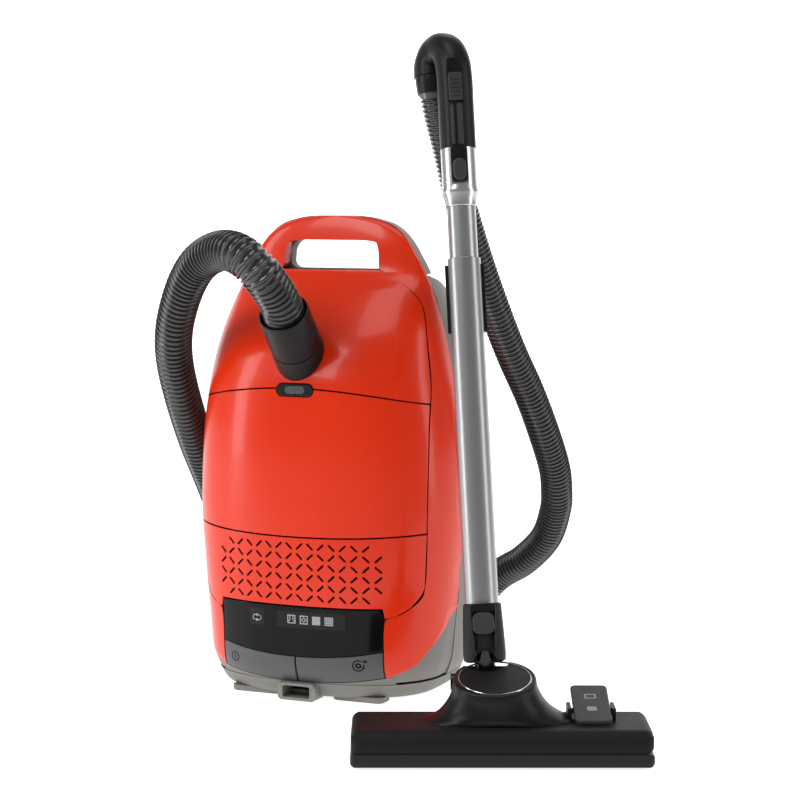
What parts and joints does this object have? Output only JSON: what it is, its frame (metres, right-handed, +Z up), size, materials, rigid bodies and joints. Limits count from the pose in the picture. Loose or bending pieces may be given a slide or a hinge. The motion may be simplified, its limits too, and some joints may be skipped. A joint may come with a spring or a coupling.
{
  "type": "canister vacuum cleaner",
  "caption": "Upright-standing canister vacuum cleaner with hinged lids, swivelling casters, ribbed suction hose, telescopic steel wand with grip and a wide floorhead.",
  "frame": {"origin": "centre of the canister's middle foot, on the floor", "axes": "+Z up, -Y the way the lids and keys face, +X to the canister's side where the wand stands"},
  "size_m": [0.6352, 0.5852, 0.6895],
  "materials": {
    "base_tub": "satin",
    "base_skirt": "satin",
    "upper_housing": "satin",
    "compartment_floor": "satin",
    "pre_motor_filter": "satin",
    "bag_holder": "satin",
    "dust_bag": "satin",
    "accessory_tray": "satin",
    "crevice_tool": "satin",
    "upholstery_nozzle": "satin",
    "dusting_brush": "satin",
    "motor_housing": "satin",
    "exhaust_filter": "satin",
    "control_panel": "satin",
    "control_board": "satin",
    "cord_outlet": "satin",
    "housing_screws": "satin",
    "indicator_lens": "satin",
    "hose_back": "satin",
    "motor_rotor": "satin",
    "cable_drum": "satin",
    "indicator_flag": "satin",
    "dust_lid": "satin",
    "hose_front": "satin",
    "hose_side": "satin",
    "lid_latch": "satin",
    "accessory_lid": "satin",
    "exhaust_grille": "satin",
    "power_key": "satin",
    "rewind_key": "satin",
    "hose_connector": "satin",
    "connector_button_left": "satin",
    "connector_button_right": "satin",
    "caster_fork_top": "satin",
    "caster_wheel_top": "satin",
    "caster_fork_left": "satin",
    "caster_wheel_left": "satin",
    "caster_fork_right": "satin",
    "caster_wheel_right": "satin",
    "elbow_socket": "satin",
    "lower_tube": "satin",
    "tube_slider_housing": "satin",
    "hose_rise": "satin",
    "elbow_button": "satin",
    "tube_slider": "satin",
    "upper_tube": "satin",
    "wand_collar": "satin",
    "handle": "satin",
    "hose_top": "satin",
    "collar_button": "satin",
    "air_slider": "satin",
    "hose_cuff": "satin",
    "neck_swivel": "satin",
    "floorhead_body": "satin",
    "floorhead_hood": "satin",
    "footswitch": "satin",
    "brush_strips": "satin",
    "floor_rollers": "satin"
  },
  "bodies": {
    "canister": {"base_tub": "base_tub", "base_skirt": "base_skirt", "upper_housing": "upper_housing", "compartment_floor": "compartment_floor", "pre_motor_filter": "pre_motor_filter", "bag_holder": "bag_holder", "dust_bag": "dust_bag", "accessory_tray": "accessory_tray", "crevice_tool": "crevice_tool", "upholstery_nozzle": "upholstery_nozzle", "dusting_brush": "dusting_brush", "motor_housing": "motor_housing", "exhaust_filter": "exhaust_filter", "control_panel": "control_panel", "control_board": "control_board", "cord_outlet": "cord_outlet", "housing_screws": "housing_screws", "indicator_lens": "indicator_lens", "hose_back": "hose_back"},
    "rotor": {"motor_rotor": "motor_rotor"},
    "drum": {"cable_drum": "cable_drum"},
    "flag": {"indicator_flag": "indicator_flag"},
    "lid": {"dust_lid": "dust_lid", "hose_front": "hose_front", "hose_side": "hose_side"},
    "latch": {"lid_latch": "lid_latch"},
    "accessory_cover": {"accessory_lid": "accessory_lid"},
    "grille": {"exhaust_grille": "exhaust_grille"},
    "on_off_key": {"power_key": "power_key"},
    "cord_key": {"rewind_key": "rewind_key"},
    "connector": {"hose_connector": "hose_connector"},
    "left_catch": {"connector_button_left": "connector_button_left"},
    "right_catch": {"connector_button_right": "connector_button_right"},
    "top_caster": {"caster_fork_top": "caster_fork_top"},
    "top_wheel": {"caster_wheel_top": "caster_wheel_top"},
    "left_caster": {"caster_fork_left": "caster_fork_left"},
    "left_wheel": {"caster_wheel_left": "caster_wheel_left"},
    "right_caster": {"caster_fork_right": "caster_fork_right"},
    "right_wheel": {"caster_wheel_right": "caster_wheel_right"},
    "wand": {"elbow_socket": "elbow_socket", "lower_tube": "lower_tube", "tube_slider_housing": "tube_slider_housing", "hose_rise": "hose_rise"},
    "elbow_catch": {"elbow_button": "elbow_button"},
    "length_slider": {"tube_slider": "tube_slider"},
    "wand_top": {"upper_tube": "upper_tube", "wand_collar": "wand_collar", "handle": "handle", "hose_top": "hose_top"},
    "collar_catch": {"collar_button": "collar_button"},
    "suction_slider": {"air_slider": "air_slider"},
    "cuff": {"hose_cuff": "hose_cuff"},
    "neck": {"neck_swivel": "neck_swivel"},
    "floorhead": {"floorhead_body": "floorhead_body", "floorhead_hood": "floorhead_hood"},
    "pedal": {"footswitch": "footswitch"},
    "brushes": {"brush_strips": "brush_strips"},
    "rollers": {"floor_rollers": "floor_rollers"}
  },
  "joints": [
    {"name": "dust_lid_hinge", "type": "hinge", "parent": "canister", "child": "lid", "pos_m": [0, -0.1151, 0.3205], "axis": [1, 0, 0], "range_deg": [0, 75]},
    {"name": "lid_latch_slide", "type": "slide", "parent": "lid", "child": "latch", "axis": [0, -1, 0], "range_m": [0, 0.004], "stiffness_N_per_m": 300, "springref_m": -0.002},
    {"name": "accessory_lid_hinge", "type": "hinge", "parent": "canister", "child": "accessory_cover", "pos_m": [0, -0.118, 0.1665], "axis": [1, 0, 0], "range_deg": [0, 70]},
    {"name": "exhaust_grille_hinge", "type": "hinge", "parent": "canister", "child": "grille", "pos_m": [0, -0.1176, 0.095], "axis": [1, 0, 0], "range_deg": [0, 60]},
    {"name": "power_key_press", "type": "slide", "parent": "canister", "child": "on_off_key", "axis": [0, 1, 0], "range_m": [0, 0.003], "stiffness_N_per_m": 400, "springref_m": -0.001},
    {"name": "rewind_key_press", "type": "slide", "parent": "canister", "child": "cord_key", "axis": [0, 1, 0], "range_m": [0, 0.003], "stiffness_N_per_m": 400, "springref_m": -0.001},
    {"name": "bag_full_flag_slide", "type": "slide", "parent": "canister", "child": "flag", "axis": [1, 0, 0], "range_m": [0, 0.012]},
    {"name": "fan_spin", "type": "hinge", "parent": "canister", "child": "rotor", "pos_m": [-0.045, 0.012, 0.19], "axis": [0, 0, 1], "continuous": true},
    {"name": "cable_drum_spin", "type": "hinge", "parent": "canister", "child": "drum", "pos_m": [0, 0, 0.095], "axis": [0, 1, 0], "continuous": true},
    {"name": "hose_connector_swivel", "type": "hinge", "parent": "lid", "child": "connector", "pos_m": [0, -0.1105, 0.363], "axis": [0.0609, -0.7009, 0.7107], "continuous": true},
    {"name": "left_catch_press", "type": "slide", "parent": "connector", "child": "left_catch", "axis": [0.9963, 0, -0.0854], "range_m": [0, 0.002], "stiffness_N_per_m": 400, "springref_m": -0.001},
    {"name": "right_catch_press", "type": "slide", "parent": "connector", "child": "right_catch", "axis": [-0.9963, 0, 0.0854], "range_m": [0, 0.002], "stiffness_N_per_m": 400, "springref_m": -0.001},
    {"name": "top_caster_swivel", "type": "hinge", "parent": "canister", "child": "top_caster", "pos_m": [0, 0.094, 0.376], "axis": [0, 1, 0], "continuous": true},
    {"name": "top_wheel_spin", "type": "hinge", "parent": "top_caster", "child": "top_wheel", "pos_m": [0, 0.108, 0.382], "axis": [1, 0, 0], "continuous": true},
    {"name": "left_caster_swivel", "type": "hinge", "parent": "canister", "child": "left_caster", "pos_m": [-0.095, 0.094, 0.095], "axis": [0, 1, 0], "continuous": true},
    {"name": "left_wheel_spin", "type": "hinge", "parent": "left_caster", "child": "left_wheel", "pos_m": [-0.095, 0.108, 0.101], "axis": [1, 0, 0], "continuous": true},
    {"name": "right_caster_swivel", "type": "hinge", "parent": "canister", "child": "right_caster", "pos_m": [0.095, 0.094, 0.095], "axis": [0, 1, 0], "continuous": true},
    {"name": "right_wheel_spin", "type": "hinge", "parent": "right_caster", "child": "right_wheel", "pos_m": [0.095, 0.108, 0.101], "axis": [1, 0, 0], "continuous": true},
    {"name": "wand_lift", "type": "slide", "parent": "canister", "child": "wand", "axis": [0, 0, 1], "range_m": [0, 0.15]},
    {"name": "wand_telescope", "type": "slide", "parent": "wand", "child": "wand_top", "axis": [-0.1134, 0.1321, 0.9847], "range_m": [0, 0.2]},
    {"name": "length_slider_push", "type": "slide", "parent": "wand", "child": "length_slider", "axis": [-0.1134, 0.1321, 0.9847], "range_m": [0, 0.004], "stiffness_N_per_m": 500, "springref_m": -0.001},
    {"name": "elbow_catch_press", "type": "slide", "parent": "wand", "child": "elbow_catch", "axis": [-0.3933, 0.9042, -0.1666], "range_m": [0, 0.0015], "stiffness_N_per_m": 400, "springref_m": -0.001},
    {"name": "collar_catch_press", "type": "slide", "parent": "wand_top", "child": "collar_catch", "axis": [-0.3933, 0.9042, -0.1666], "range_m": [0, 0.0022], "stiffness_N_per_m": 400, "springref_m": -0.001},
    {"name": "suction_slider_slide", "type": "slide", "parent": "wand_top", "child": "suction_slider", "axis": [-0.1134, 0.1321, 0.9847], "range_m": [0, 0.012]},
    {"name": "hose_cuff_swivel", "type": "hinge", "parent": "wand_top", "child": "cuff", "pos_m": [0.15421, -0.1164, 0.62416], "axis": [-0.1134, 0.1321, 0.9847], "continuous": true},
    {"name": "neck_swivel_turn", "type": "hinge", "parent": "wand", "child": "neck", "pos_m": [0.25, -0.217, 0.062], "axis": [0, 0, 1], "range_deg": [-45, 45]},
    {"name": "floorhead_pitch", "type": "hinge", "parent": "neck", "child": "floorhead", "pos_m": [0.25, -0.217, 0.062], "axis": [0.9136, 0.4067, 0], "range_deg": [0, 50]},
    {"name": "footswitch_rock", "type": "hinge", "parent": "floorhead", "child": "pedal", "pos_m": [0.35267, -0.20413, 0.041], "axis": [-0.9136, -0.4067, 0], "range_deg": [0, 8]},
    {"name": "brush_strip_lift", "type": "slide", "parent": "floorhead", "child": "brushes", "axis": [0, 0, 1], "range_m": [0, 0.005]},
    {"name": "floor_roller_spin", "type": "hinge", "parent": "floorhead", "child": "rollers", "pos_m": [0.27085, -0.2318, 0.008], "axis": [0.9136, 0.4067, 0], "continuous": true}
  ],
  "couplings": [
    {"joint": "floorhead_pitch", "follows": "wand_lift", "rad_per_m": 5.8},
    {"joint": "brush_strip_lift", "follows": "footswitch_rock", "m_per_rad": 0.0355}
  ]
}
